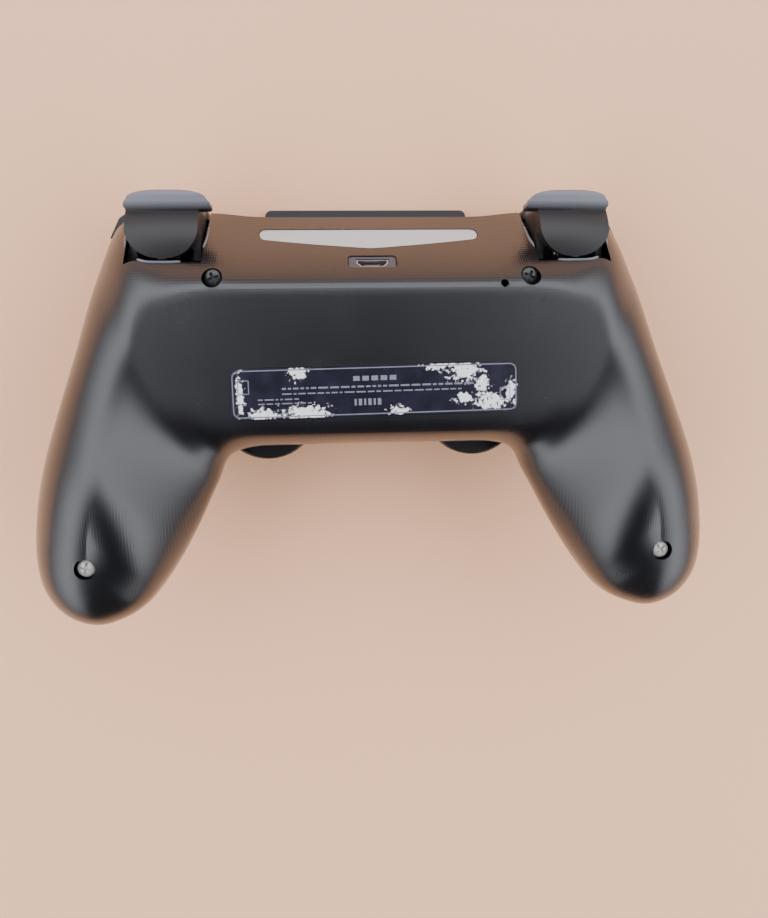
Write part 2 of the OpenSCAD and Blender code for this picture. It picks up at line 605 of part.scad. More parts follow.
module bracket()
    color("#4a4d53") union() {
        difference() {
            block(trigger_w - 0.6, 8.6, deck_z, deck_z + deck_t, [trigger_x, trigger_y + 2.2]);
            translate([trigger_x, trigger_y, trigger_z]) rod_x(2.8, trigger_w);
        }
        block(4, 5, deck_z, deck_z + deck_t, [bumper_post.x, bumper_post.y - 0.6]);
        for (s = [-1, 1]) translate([trigger_x + (trigger_w / 2 - 3) * s, 0, 0])
            block(1.8, 4.4, deck_z + deck_t, trigger_z + 1, [0, trigger_y]);
        translate([trigger_x, trigger_y, trigger_z]) rod_x(pin_r, trigger_w - 0.2);
        disc(pin_r, bumper_low + 0.4, deck_z + 0.1, bumper_post, 32);
    }
module trigger_spring()
    color("#c0c4ca") translate([trigger_x, trigger_y, trigger_z]) union() {
        for (i = [-2 : 2]) translate([i * 0.9, 0, 0]) rotate([0, 90, 0])
            rotate_extrude($fn = 24) translate([1.9, 0]) circle(0.28, $fn = 10);
        translate([0, 0, 1.9]) rod_x(0.26, 4, 10);
        translate([1.8, 2.6, 1.9]) rod_y(0.26, 5, 10);
    }
module bumper()
    color("#2a2c31") difference() {
        union() {
            translate([0, 0, bumper_low]) linear_extrude(deck_z - 0.4 - bumper_low) bumper_plan(0, 0);
            disc(pin_r + 1.2, bumper_low, deck_z - 0.4, bumper_post, 32);
        }
        disc(pin_r + run_gap, bumper_low - 1, deck_z, bumper_post, 32);
    }
module motor()
    color("#a9adb3") translate(motor_at) union() {
        rod_y(motor_r, 14, 48);
        translate([0, 7.6, 0]) rod_y(2, 1.4);
    }
module motor_weight()
    color("#7d8187") translate(motor_at + [0, 11.6, 0]) union() {
        intersection() {
            rod_y(7, 5, 48);
            translate([-8, -4, -8]) cube([16, 8, 9.4]);
        }
        translate([0, -0.2, 0]) rod_y(1.2, 5.6);
    }

at_rest() back_shell();
at_rest() front_shell();
at_rest() mid_frame();
at_rest() battery();
at_rest() battery_lead();
at_rest() main_board();
at_rest() board_screw();
at_rest() port_board();
at_rest() port_cable();
at_rest() usb_port();
at_rest() usb_bezel();
at_rest() light_bar();
at_rest() expansion_port();
at_rest() headset_jack();
at_rest() speaker();
at_rest() reset_switch();
at_rest() reset_plunger();
at_rest() rating_label();
at_rest() shell_screws();
at_rest() touchpad();
at_rest() touchpad_switch();
at_rest() dpad();
at_rest() dpad_pivot();
at_rest() dpad_base();
at_rest() button_base();
at_rest() action_button(0);  // action_button_far
at_rest() action_button(1);  // action_button_near
at_rest() action_button(2);  // action_button_outer
at_rest() action_button(3);  // action_button_inner
at_rest() menu_button(1);  // left_menu_button
at_rest() menu_button(-1);  // right_menu_button
at_rest() home_button();
at_rest() on_left() stick();  // left_stick
at_rest() on_left() stick_yoke();  // left_stick_yoke
at_rest() on_left() stick_cradle();  // left_stick_cradle
at_rest() on_left() stick_module();  // left_stick_module
at_rest() on_right() stick();  // right_stick
at_rest() on_right() stick_yoke();  // right_stick_yoke
at_rest() on_right() stick_cradle();  // right_stick_cradle
at_rest() on_right() stick_module();  // right_stick_module
at_rest() on_left() trigger();  // left_trigger
at_rest() on_left() trigger_spring();  // left_trigger_spring
at_rest() on_left() bracket();  // left_bracket
at_rest() on_left() bumper();  // left_bumper
at_rest() on_right() trigger();  // right_trigger
at_rest() on_right() trigger_spring();  // right_trigger_spring
at_rest() on_right() bracket();  // right_bracket
at_rest() on_right() bumper();  // right_bumper
at_rest() on_left() motor();  // left_motor
at_rest() on_left() motor_weight();  // left_motor_weight
at_rest() on_right() motor();  // right_motor
at_rest() on_right() motor_weight();  // right_motor_weight
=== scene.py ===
# A two-handed wireless gamepad lying face down on a pale table
import json
import math
import random
import bpy
import bmesh
from mathutils import Matrix, Vector
from mathutils.bvhtree import BVHTree


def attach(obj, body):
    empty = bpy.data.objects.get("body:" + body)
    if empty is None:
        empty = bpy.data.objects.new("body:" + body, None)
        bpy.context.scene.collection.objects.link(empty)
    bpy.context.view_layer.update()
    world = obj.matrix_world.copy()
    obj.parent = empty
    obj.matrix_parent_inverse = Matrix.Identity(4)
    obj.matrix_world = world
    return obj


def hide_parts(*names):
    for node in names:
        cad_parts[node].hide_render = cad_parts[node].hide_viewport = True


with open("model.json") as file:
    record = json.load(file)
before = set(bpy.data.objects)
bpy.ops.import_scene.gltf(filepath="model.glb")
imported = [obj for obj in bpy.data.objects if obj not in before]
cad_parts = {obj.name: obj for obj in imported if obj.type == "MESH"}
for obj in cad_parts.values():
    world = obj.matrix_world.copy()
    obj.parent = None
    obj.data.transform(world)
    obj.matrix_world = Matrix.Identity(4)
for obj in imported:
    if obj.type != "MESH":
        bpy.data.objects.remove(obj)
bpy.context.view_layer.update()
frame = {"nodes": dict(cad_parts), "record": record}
nodes = frame["nodes"]
print("frame loaded")

# The body's plan in millimetres, drawn level: the same stations as the CAD shells
plan = {
    "faceZ": 10, "backZ": 41, "gripZ": 53, "wall": 2, "seamGap": 0.16,
    "seamFar": 16, "seamSlope": 0.22, "farY": 47.6,
    "spine": [(0, 19.6), (14, 19.6), (28, 19.6), (38, 18.6), (45, 16), (50, 11.6),
              (53.5, 5.6), (56.5, -1.4), (59.5, -9.4), (62, -17.4), (64, -25.4), (65, -32)],
    "outer": [(0, 47.6), (15, 47.6), (28, 47.7), (38, 48.6), (49, 48.7), (60, 47.6),
              (66.2, 32.6), (71.2, 14), (75.2, -0.4), (78, -12.4), (79.6, -23.4), (79.8, -33)],
    "tip": [(77.8, -41), (73, -46.8), (66.4, -49.3), (60, -48)],
    "inner": [(0, -8.6), (11, -8.6), (21, -8.7), (28.5, -8.9), (33.4, -10), (36.4, -12.4),
              (38.2, -17), (40.2, -21.4), (43, -27.4), (46.6, -34), (50.6, -40), (55, -45)],
    "roundFar": [0.72, 0.72, 0.72, 0.71, 0.7, 0.71, 0.82, 0.9, 0.94, 0.94, 0.94, 0.94],
    "roundNear": [0.23, 0.23, 0.24, 0.28, 0.4, 0.6, 0.8, 0.9, 0.94, 0.94, 0.94, 0.94],
    "fullness": [0, 0, 0, 0.05, 0.2, 0.55, 0.85, 1, 1, 1, 1, 1],
    "faceFar": [0.16, 0.16, 0.16, 0.16, 0.14, 0.1, 0.1, 0.22, 0.5, 0.8, 0.92, 0.94],
    "faceNear": [0.14, 0.14, 0.14, 0.16, 0.2, 0.28, 0.4, 0.6, 0.8, 0.92, 0.94, 0.94],
    "partSteps": 8, "arcSteps": 16, "flatSteps": 4,
}
# Where things sit, level millimetres
place = {
    "stick": (26.4, -0.4), "capR": 9.2, "domeR": 9.7, "cupR": 12.9, "neckHole": 8.2, "pivotZ": 17.5,
    "cluster": (48.8, 24), "spread": 10.4, "buttonR": 5, "buttonGap": 0.4, "tipZ": 7.2,
    "menu": (32.4, 37.6), "home": (0, 3), "padW": 52, "padD": 24, "padY": 50,
    "trigger": (47.9, 37.5, 22.6), "triggerW": 16.4, "triggerR": 13.4,
    "lipW": 19.6, "lipShift": -1.2, "sideGap": 0.7,
    "deckZ": 19, "bumperLow": 12.4, "screwsFar": (36.4, 30.4, 36.6), "screwsNear": (65.4, -33.2, 46.4),
    "usb": (34, 34.9, 46),
    "wellR": 2.3, "jack": (-9, -8.2, 19.4), "reset": (30, 28.6), "restY": 7.653,
}
rimY = place["stick"][1] + place["capR"] - 2.4
lean = math.atan2(place["tipZ"], place["cluster"][1] + place["spread"] + place["buttonR"] - 0.6 - rimY)
levelToRow = (Matrix.Translation((0, -place["restY"] / 1000, rimY * math.sin(lean) / 1000))
              @ Matrix.Rotation(-lean, 4, "X") @ Matrix.Scale(0.001, 4))


def mix(a, b, t):
    return a + (b - a) * t


def smoothStep(t):
    c = min(1, max(0, t))
    return c * c * (3 - 2 * c)


def between(a, b, c, d, t):
    return b + (c - a + (a * 2 - b * 5 + c * 4 - d + ((b - c) * 3 + d - a) * t) * t) * (0.5 * t)


def flipX(p):
    return Vector((-p.x, p.y)) if isinstance(p, Vector) else p


# Value at station u of a list that is mirrored at its start
def along(values, u):
    n = len(values) - 1
    i = min(int(u), n - 1)
    before = flipX(values[1]) if i == 0 else values[i - 1]
    after = values[n] * 2 - values[n - 1] if i + 2 > n else values[i + 2]
    return between(before, values[i], values[i + 1], after, u - i)


spine = [Vector(p) for p in plan["spine"]]
edge = [Vector(p) for p in plan["outer"] + plan["tip"] + plan["inner"][::-1]]
last = len(spine) - 1
edgeLast = len(edge) - 1


def edgeAt(u):
    i = min(int(u), edgeLast - 1)
    before = flipX(edge[1]) if i == 0 else edge[i - 1]
    after = flipX(edge[edgeLast - 1]) if i + 2 > edgeLast else edge[i + 2]
    return between(before, edge[i], edge[i + 1], after, u - i)


def spineStation(u):
    return u if u <= last else edgeLast - u if u >= edgeLast - last else last


def seamZ(p):
    return plan["seamFar"] + plan["seamSlope"] * (plan["farY"] - p.y)


def backCrest(p):
    rise = (plan["gripZ"] - plan["backZ"]) * smoothStep((8 - p.y) / 34)
    return plan["backZ"] + rise - 4 * smoothStep((-12 - p.y) / 22)


def faceCrest(p):
    return plan["faceZ"] + 12 * smoothStep((4 - p.y) / 40)


# Rounding from the edge (0, 0) to the crest (1, 1): nearly straight, or a quarter of an ellipse
def slope(t, full):
    a, b = 3 * (1 - t) ** 2 * t, 3 * (1 - t) * t * t
    return (a * 0.3 * (1 - full) + b * (0.8 - 0.352 * full) + t ** 3, a * (0.38 + 0.172 * full) + b + t ** 3)


# One ring point of a shell: rises from the edge to the crest, then runs flat to the spine
def ribPoint(rim, mid, u, k, back, inset):
    st, far, steps = spineStation(u), u <= edgeLast / 2, plan["arcSteps"]
    if back:
        share = along(plan["roundFar" if far else "roundNear"], st)
        full = along(plan["fullness"], st) if far else 1
        low, high, bulge = seamZ(rim) + plan["seamGap"] / 2, backCrest(mid) - inset, 0
    else:
        share, full = along(plan["faceFar" if far else "faceNear"], st), 1
        low, high = seamZ(rim) - plan["seamGap"] / 2, faceCrest(mid) + inset
        tipShare = smoothStep(1 - abs(u - edgeLast / 2) / 5.5)
        bulge = (0.3 + 1.2 * tipShare) * (1 if inset == 0 else 0.9)
    way = mid - rim
    length = way.length
    way = way / length
    q = slope(min(k, steps) / steps, full)
    flat = 0 if k <= steps else (k - steps) / (plan["flatSteps"] + 1)
    s = share * q[0] + (1 - share) * flat
    swell = bulge * math.sin(math.radians(min(180, 300 * k / steps)))
    at = rim + way * (inset + (length - inset) * s - swell)
    return (at.x, at.y, low + (high - low) * q[1])


# Both skins of one half of the case, joined round the rim
def shellMesh(back, insets=None):
    m = plan["partSteps"]
    half, spineCount = edgeLast * m, last * m
    rings = plan["arcSteps"] + plan["flatSteps"] + 1
    ribs = []
    for i in range(2 * half):
        right = i <= half
        u = (i if right else 2 * half - i) / m
        rim, mid = edgeAt(u), along(spine, spineStation(u))
        ribs.append((rim, mid, u) if right else (flipX(rim), flipX(mid), u))
    count = len(ribs)

    def spineIndex(i):
        right = i <= half
        k = i if right else 2 * half - i
        s = k if k <= spineCount else half - k if k >= half - spineCount else spineCount
        return spineCount + (s if right else -s)

    verts, faces = [], []
    for inset in insets or (0, plan["wall"]):
        start = len(verts)
        verts += [ribPoint(r, c, u, k, back, inset) for k in range(rings) for r, c, u in ribs]
        for i in range(-spineCount, spineCount + 1):
            p = along(spine, abs(i) / m)
            z = backCrest(p) - inset if back else faceCrest(p) + inset
            verts.append((math.copysign(p.x, i) if i else 0, p.y, z))
        skin = []
        for k in range(rings - 1):
            for i in range(count):
                j = (i + 1) % count
                a, b = start + k * count + i, start + k * count + j
                skin.append((a, b, b + count, a + count))
        for i in range(count):
            j = (i + 1) % count
            r, c = start + (rings - 1) * count, start + rings * count
            p, q = c + spineIndex(i), c + spineIndex(j)
            skin.append((r + i, r + j, q, p) if p != q else (r + i, r + j, q))
        faces += [f[::-1] for f in skin] if (start == 0) != back else skin
    inner = len(verts) // 2
    for i in range(count):
        j = (i + 1) % count
        f = (i, inner + i, inner + j, j)
        faces.append(f[::-1] if back else f)
    return verts, faces


def meshObject(name, verts, faces, level=True):
    mesh = bpy.data.meshes.new(name)
    mesh.from_pydata([tuple(levelToRow @ Vector(v)) if level else v for v in verts], [], faces)
    mesh.validate()
    obj = bpy.data.objects.new(name, mesh)
    bpy.context.scene.collection.objects.link(obj)
    return obj


def fromBmesh(name, bm):
    bm.transform(levelToRow)
    bmesh.ops.recalc_face_normals(bm, faces=bm.faces[:])
    mesh = bpy.data.meshes.new(name)
    bm.to_mesh(mesh)
    bm.free()
    obj = bpy.data.objects.new(name, mesh)
    bpy.context.scene.collection.objects.link(obj)
    return obj


# A solid standing on a closed outline, from one height to another
def addPrism(bm, points, low, high):
    bottom = [bm.verts.new((p[0], p[1], low)) for p in points]
    top = [bm.verts.new((p[0], p[1], high)) for p in points]
    n = len(points)
    bm.faces.new(bottom[::-1])
    bm.faces.new(top)
    for i in range(n):
        bm.faces.new((bottom[i], bottom[(i + 1) % n], top[(i + 1) % n], top[i]))


# A solid standing across X on a closed (y, z) outline
def addSideways(bm, points, low, high):
    left = [bm.verts.new((low, p[0], p[1])) for p in points]
    right = [bm.verts.new((high, p[0], p[1])) for p in points]
    n = len(points)
    bm.faces.new(left)
    bm.faces.new(right[::-1])
    for i in range(n):
        bm.faces.new((left[i], right[i], right[(i + 1) % n], left[(i + 1) % n]))


def circlePoints(at, r, n=48):
    angles = [2 * math.pi * i / n for i in range(n)]
    return [(at[0] + r * math.cos(a), at[1] + r * math.sin(a)) for a in angles]


def boxPoints(at, w, d):
    return [(at[0] + sx * w / 2, at[1] + sy * d / 2) for sx, sy in ((-1, -1), (1, -1), (1, 1), (-1, 1))]


def roundedPoints(at, w, d, r, n=6):
    points = []
    for turn, (sx, sy) in enumerate(((1, 1), (-1, 1), (-1, -1), (1, -1))):
        c = (at[0] + sx * (w / 2 - r), at[1] + sy * (d / 2 - r))
        for i in range(n + 1):
            a = math.pi / 2 * (turn + i / n)
            points.append((c[0] + r * math.cos(a), c[1] + r * math.sin(a)))
    return points


# A solid of revolution from a profile of (radius, height), closed flat at both ends
def addTurned(bm, profile, at, n=72):
    rings = []
    for r, z in profile:
        rings.append([bm.verts.new((x, y, z)) for x, y in circlePoints(at, r, n)])
    for low, high in zip(rings, rings[1:]):
        for i in range(n):
            j = (i + 1) % n
            bm.faces.new((low[i], low[j], high[j], high[i]))
    bm.faces.new(rings[0][::-1])
    bm.faces.new(rings[-1])


def combine(obj, other, operation):
    step = obj.modifiers.new("combine", "BOOLEAN")
    step.operation, step.solver, step.object = operation, "EXACT", other
    bake(obj)
    bpy.data.objects.remove(other)


def cut(obj, cutter, keep=False):
    combine(obj, cutter, "INTERSECT" if keep else "DIFFERENCE")


def bake(obj):
    graph = bpy.context.evaluated_depsgraph_get()
    mesh = bpy.data.meshes.new_from_object(obj.evaluated_get(graph))
    obj.modifiers.clear()
    obj.data = mesh


def smooth(obj, angle=32):
    obj.data.shade_smooth()
    obj.data.set_sharp_from_angle(angle=math.radians(angle))


def bevel(obj, width, segments=3, angle=30):
    edges = obj.modifiers.new("edges", "BEVEL")
    edges.width, edges.segments = width / 1000, segments
    edges.limit_method, edges.angle_limit = "ANGLE", math.radians(angle)
    edges.harden_normals = False


# Pocket for a trigger, with round corners where it meets the back
def pocketPoints(side, grow):
    x, w = place["trigger"][0], place["triggerW"] + 2 * (place["sideGap"] + grow)
    low, r = place["trigger"][1] - 3 - grow, 6.4 + grow
    points = [(x + w / 2, 70), (x - w / 2, 70)]
    for i in range(9):
        a = math.pi + math.pi / 2 * i / 8
        points.append((x - w / 2 + r + r * math.cos(a), low + r + r * math.sin(a)))
    for i in range(9):
        a = 1.5 * math.pi + math.pi / 2 * i / 8
        points.append((x + w / 2 - r + r * math.cos(a), low + r + r * math.sin(a)))
    return [(side * px, py) for px, py in points]


def bumperPoints(side, grow, inward, out=0.3):
    left = place["trigger"][0] - place["triggerW"] / 2 + 0.1
    steps = [3 + 2.45 * i / 12 for i in range(13)]
    path = [edgeAt(u) + Vector((out, out)) for u in steps]
    path += [edgeAt(u) - Vector((2, 2.2 + inward)) for u in steps[::-1]]
    path = [(max(p.x, left), p.y) for p in path]
    c = (sum(p[0] for p in path) / len(path), sum(p[1] for p in path) / len(path))
    grown = []
    for i, p in enumerate(path):
        outer = i <= 12
        gx = grow if i in (12, 13) else (-grow if i in (0, 25) else 0)
        grown.append((side * (p[0] + gx), p[1] + (grow if outer else -grow)))
    return grown


def lightPoints(grow):
    half = [(25.2, 43.5), (26.1, 43.25), (26.5, 42.7), (26.6, 42), (26.35, 41.2), (25.8, 40.7), (25, 40.45),
            (20, 39.85), (14, 39.2), (7, 38.55), (2, 38.1)]
    outline = half + [(0, 38)] + [(-x, y) for x, y in half[::-1]]
    return [(x * (1 + grow / 26.6), 41 + (y - 41) * (1 + grow / 2.8)) for x, y in outline]


def cutters(name, build):
    bm = bmesh.new()
    build(bm)
    obj = fromBmesh(name, bm)
    bm = bmesh.new()
    bm.from_mesh(obj.data)
    bmesh.ops.recalc_face_normals(bm, faces=bm.faces[:])
    bm.to_mesh(obj.data)
    bm.free()
    return obj


# Back cover
def backCuts(bm):
    for side in (-1, 1):
        for s in (place["screwsFar"], place["screwsNear"]):
            at = (side * s[0], s[1])
            addPrism(bm, circlePoints(at, place["wellR"]), s[2], s[2] + 20)
        addPrism(bm, pocketPoints(side, 0), place["deckZ"], 70)
    addPrism(bm, circlePoints(place["reset"], 0.9), 28, 45)


def bumperCuts(bm):
    for side in (-1, 1):
        addPrism(bm, bumperPoints(side, 0.7, 3), place["bumperLow"] - 0.4, place["deckZ"] + 0.4)


# Room for the skirts to swing in
def skirtCuts(bm):
    x, y, z = place["trigger"]
    half = place["triggerW"] / 2 + 0.5
    for side in (-1, 1):
        arc = [(y + p[0], z + p[1]) for p in circlePoints((0, 0), place["triggerR"] + 0.4, 96)]
        addSideways(bm, arc, side * x - half, side * x + half)


def windowCuts(bm):
    addPrism(bm, lightPoints(0.12), 12, 50)


# Turns a solid drawn at the USB mouth so that it faces out of the far slope
def toUsb(bm):
    y, z, tilt = place["usb"]
    bm.transform(Matrix.Translation((0, y, z)) @ Matrix.Rotation(math.radians(-tilt), 4, "X"))


def socketCuts(bm):
    addPrism(bm, roundedPoints((0, 0), 11.4, 4.8, 1), -2.7, 5.3)
    toUsb(bm)


def socketHoleCuts(bm):
    addPrism(bm, usbPoints(0.3), -6, 2)
    toUsb(bm)


def usbPoints(grow):
    return [(-3.7 - grow, 1.3 + grow), (-3.7 - grow, -0.1), (-2.65 - grow * 0.4, -1.3 - grow),
            (2.65 + grow * 0.4, -1.3 - grow), (3.7 + grow, -0.1), (3.7 + grow, 1.3 + grow)]


backPiece = meshObject("backCover", *shellMesh(True))
rawBack = BVHTree.FromObject(backPiece, bpy.context.evaluated_depsgraph_get())
cut(backPiece, cutters("backCutter", backCuts))
cut(backPiece, cutters("backBumperCutter", bumperCuts))
cut(backPiece, cutters("skirtCutter", skirtCuts))
cut(backPiece, cutters("windowCutter", windowCuts))
cut(backPiece, cutters("socketCutter", socketCuts))
cut(backPiece, cutters("socketHoleCutter", socketHoleCuts))
smooth(backPiece)
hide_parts("back_shell")
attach(backPiece, "case")
print("back cover", len(backPiece.data.vertices))


# Height of the uncut back at a level point, and its normal
def backHit(x, y):
    top, down = levelToRow @ Vector((x, y, 80)), levelToRow.to_3x3() @ Vector((0, 0, -1))
    hit, normal, _, _ = rawBack.ray_cast(top, down.normalized())
    inverse = levelToRow.inverted()
    return (inverse @ hit), (inverse.to_3x3() @ normal).normalized()


# Front cover with its stick cups
def cupCuts(bm, side):
    at = (side * place["stick"][0], place["stick"][1])
    r = place["domeR"] + 0.4
    profile = [(place["neckHole"], -6)]
    for i in range(15):
        z = 11.6 + 2.85 * i / 14
        profile.append((max(place["neckHole"], math.sqrt(r * r - (place["pivotZ"] - z) ** 2)), z))
    profile += [(r, 14.48), (r, 19.1)]
    addTurned(bm, profile, at)


def pocketCuts(bm):
    for side in (-1, 1):
        addPrism(bm, pocketPoints(side, 0), place["deckZ"], 70)


# The cups are open on top, up to a strip beside the battery
def cupTopCuts(bm):
    for side in (-1, 1):
        at = (side * place["stick"][0], place["stick"][1])
        ring = [(x, max(y, -6.6)) for x, y in circlePoints(at, place["domeR"] + 0.4)]
        low = [p for p in ring if p[1] > -6.6]
        addPrism(bm, low, 18.5, 25.5)


def faceCuts(bm):
    z0, z1 = 8, 16
    cx, cy = place["cluster"]
    a, b = (8.4 + 2.2) / 2, (25 + 2.2) / 2
    crossPoints = ((a, b), (-a, b), (-a, a), (-b, a), (-b, -a), (-a, -a), (-a, -b),
                   (a, -b), (a, -a), (b, -a), (b, a), (a, a))
    addPrism(bm, [(cx + x, cy + y) for x, y in crossPoints], z0, z1)
    for turn in (90, 270, 180, 0):
        t = math.radians(turn)
        at = (-cx + place["spread"] * math.cos(t), cy + place["spread"] * math.sin(t))
        addPrism(bm, circlePoints(at, place["buttonR"] + place["buttonGap"]), z0, z1)
    for side in (-1, 1):
        addPrism(bm, roundedPoints((side * place["menu"][0], place["menu"][1]), 3.8, 7.8, 1.89, 8), z0, z1)
    addPrism(bm, circlePoints(place["home"], 5.0), z0, z1)
    padMid = (0, place["padY"] - place["padD"] / 2 - 0.4 + 3)
    addPrism(bm, boxPoints(padMid, place["padW"] + 0.8, place["padD"] + 6), z0, 16.2)
    for i in range(-2, 3):
        for j in (-1, 0, 1):
            if abs(i) + abs(j) < 3:
                addPrism(bm, circlePoints((2.2 * i, 15.6 + 2.2 * j), 0.7, 16), 9, 14)


def portCuts(bm):
    n = 40
    x, y, z = place["jack"]
    a = [bm.verts.new((px, y - 7, pz)) for px, pz in circlePoints((x, z), 3.3, n)]
    b = [bm.verts.new((v.co.x, y + 7, v.co.z)) for v in a]
    bm.faces.new(a)
    bm.faces.new(b[::-1])
    for i in range(n):
        bm.faces.new((a[i], b[i], b[(i + 1) % n], a[(i + 1) % n]))
    addPrism(bm, boxPoints((5, y), 13.6, 14), 16.6, 22.4)


def cupShapes(bm):
    for side in (-1, 1):
        at = (side * place["stick"][0], place["stick"][1])
        r = place["cupR"]
        profile = [(r - 1.9, 9.8), (r - 1.3, 10.1), (r - 0.25, 11.8), (r, 12.6), (r, 19.7),
                   (r - 0.2, 20.2), (r - 0.6, 20.5)]
        addTurned(bm, profile, at)


frontPiece = meshObject("frontCover", *shellMesh(False))
combine(frontPiece, cutters("cups", cupShapes), "UNION")
for side in (-1, 1):
    cut(frontPiece, cutters("cupCutter", lambda bm: cupCuts(bm, side)))
cut(frontPiece, cutters("frontPocketCutter", pocketCuts))
cut(frontPiece, cutters("cupTopCutter", cupTopCuts))
cut(frontPiece, cutters("frontBumperCutter", bumperCuts))
cut(frontPiece, cutters("faceCutter", faceCuts))
cut(frontPiece, cutters("portCutter", portCuts))
smooth(frontPiece)
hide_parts("front_shell")
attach(frontPiece, "case")
print("front cover", len(frontPiece.data.vertices))


# Round tube along a path of level points
def addTube(bm, path, r, n=10, flat=1.0):
    rings = []
    for i, p in enumerate(path):
        ahead = (path[min(i + 1, len(path) - 1)] - path[max(i - 1, 0)]).normalized()
        side = ahead.cross(Vector((0, 0, 1))).normalized()
        up = side.cross(ahead)
        ring = []
        for k in range(n):
            a = 2 * math.pi * k / n
            ring.append(bm.verts.new(p + side * r * math.cos(a) + up * r * flat * math.sin(a)))
        rings.append(ring)
    for a, b in zip(rings, rings[1:]):
        for k in range(n):
            bm.faces.new((a[k], a[(k + 1) % n], b[(k + 1) % n], b[k]))
    bm.faces.new(rings[0][::-1])
    bm.faces.new(rings[-1])


def splineThrough(points, steps):
    out = []
    for i in range(len(points) - 1):
        a, b = Vector(points[max(0, i - 1)]), Vector(points[i])
        c, d = Vector(points[i + 1]), Vector(points[min(len(points) - 1, i + 2)])
        out += [between(a, b, c, d, k / steps) for k in range(steps)]
    return [tuple(p) for p in out + [Vector(points[-1])]]


# Light window
def windowPlan(bm):
    addPrism(bm, lightPoints(0), 12, 50)


lens = meshObject("lightWindow", *shellMesh(True, (0.25, plan["wall"] + 0.8)))
cut(lens, cutters("lensCutter", windowPlan), keep=True)
smooth(lens)
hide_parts("light_bar")
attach(lens, "case")

# Rim round each trigger pocket
rim = {"radius": 0.34, "lift": 0.12, "out": 0.27, "stopY": 43.6}
rimMesh = bmesh.new()
for side in (-1, 1):
    path = []
    for x, y in pocketPoints(side, rim["out"])[1:] + pocketPoints(side, rim["out"])[:1]:
        path.append((x, min(y, rim["stopY"])))
    full = []
    for a, b in zip(path, path[1:]):
        count = max(1, int(math.hypot(b[0] - a[0], b[1] - a[1]) / 0.8))
        full += [(mix(a[0], b[0], k / count), mix(a[1], b[1], k / count)) for k in range(count)]
    points = []
    for x, y in full + [path[-1]]:
        hit, normal = backHit(x, y)
        points.append(hit + normal * (rim["lift"] - rim["radius"] * 0.5))
    addTube(rimMesh, points, rim["radius"])
rimPiece = fromBmesh("pocketRims", rimMesh)
cut(rimPiece, cutters("rimSkirtCutter", skirtCuts))
smooth(rimPiece)
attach(rimPiece, "case")


# Triggers
def arcPoints(r, low, high, n):
    angles = [math.radians(mix(low, high, i / n)) for i in range(n + 1)]
    return [(r * math.cos(a), r * math.sin(a)) for a in angles]


def triggerSolid(bm):
    _, y, z = place["trigger"]
    pull = [(10.4, -1.6), (10.1, 2), (10.7, 5.5), (12.1, 8.6), (13.1, 10), (13.2, 10.9),
            (12.4, 11.6), (10.6, 11.2)]
    outer = splineThrough(pull, 6) + arcPoints(place["triggerR"], 50, 101, 20)
    outline = [(2.6, -2.2)] + outer + [(-2.2, 6), (-2.2, 0), (-1.6, -2)]
    mid, half = place["trigger"][0] + place["lipShift"], place["lipW"] / 2
    addSideways(bm, [(y + p[0], z + p[1]) for p in outline], mid - half, mid + half + 0.4)


def triggerPlan(bm):
    x, w = place["trigger"][0], place["triggerW"] / 2
    mid, half = x + place["lipShift"], place["lipW"] / 2
    right = [(x + w, 20), (x + w, 46.5), (mid + half - 0.4, 46.55), (mid + half, 47),
             (mid + half - 0.1, 47.9), (mid + half - 0.9, 48.7)]
    left = [(mid - half + 0.9, 48.7), (mid - half + 0.1, 47.9), (mid - half, 47), (mid - half + 0.4, 46.55),
            (x - w, 46.5), (x - w, 20)]
    angles = [math.pi * i / 24 for i in range(1, 24)]
    crown = [(mid + (half - 0.9) * math.cos(a), 48.7 + 2.1 * math.sin(a)) for a in angles]
    addPrism(bm, right + crown + left, 10, 60)


# Takes the near corners off the skirt, above the pins
def triggerCorners(bm):
    x, low = place["trigger"][0], place["trigger"][1] - 2.3
    half, r = place["triggerW"] / 2 + 0.1, 7.4
    for side in (-1, 1):
        arc = []
        for i in range(13):
            a = math.pi / 2 * i / 12
            arc.append((x + side * (half - r + r * math.sin(a)), low + r - r * math.cos(a)))
        away = x + side * (half + 2)
        outline = [(away, low - 2), (arc[0][0], low - 2)] + arc + [(away, arc[-1][1])]
        addPrism(bm, outline, 31, 60)


# The lip is wider than the rest only above this height
def triggerSides(bm):
    x, half = place["trigger"][0], place["triggerW"] / 2
    for side in (-1, 1):
        addPrism(bm, boxPoints((x + side * (half + 4), 45), 8, 30), 10, 29.1)


def triggerHollow(bm):
    x, y, z = place["trigger"]
    inner = [(-6, -6), (8.6, -6), (8.6, 1), (9.1, 5), (9.4, 7.2)]
    inner += arcPoints(11.7, 40, 100, 16) + [(-6, 11.5)]
    addSideways(bm, [(y + p[0], z + p[1]) for p in inner], x - 6.4, x + 6.4)


def triggerBore(bm):
    x, y, z = place["trigger"]
    addSideways(bm, [(y + p[0], z + p[1]) for p in circlePoints((0, 0), 1.31)], x - 20, x + 20)


def mirrorObject(obj, name):
    bm = bmesh.new()
    bm.from_mesh(obj.data)
    bm.transform(Matrix.Scale(-1, 4, (1, 0, 0)))
    bmesh.ops.reverse_faces(bm, faces=bm.faces[:])
    mesh = bpy.data.meshes.new(name)
    bm.to_mesh(mesh)
    bm.free()
    other = bpy.data.objects.new(name, mesh)
    bpy.context.scene.collection.objects.link(other)
    return other


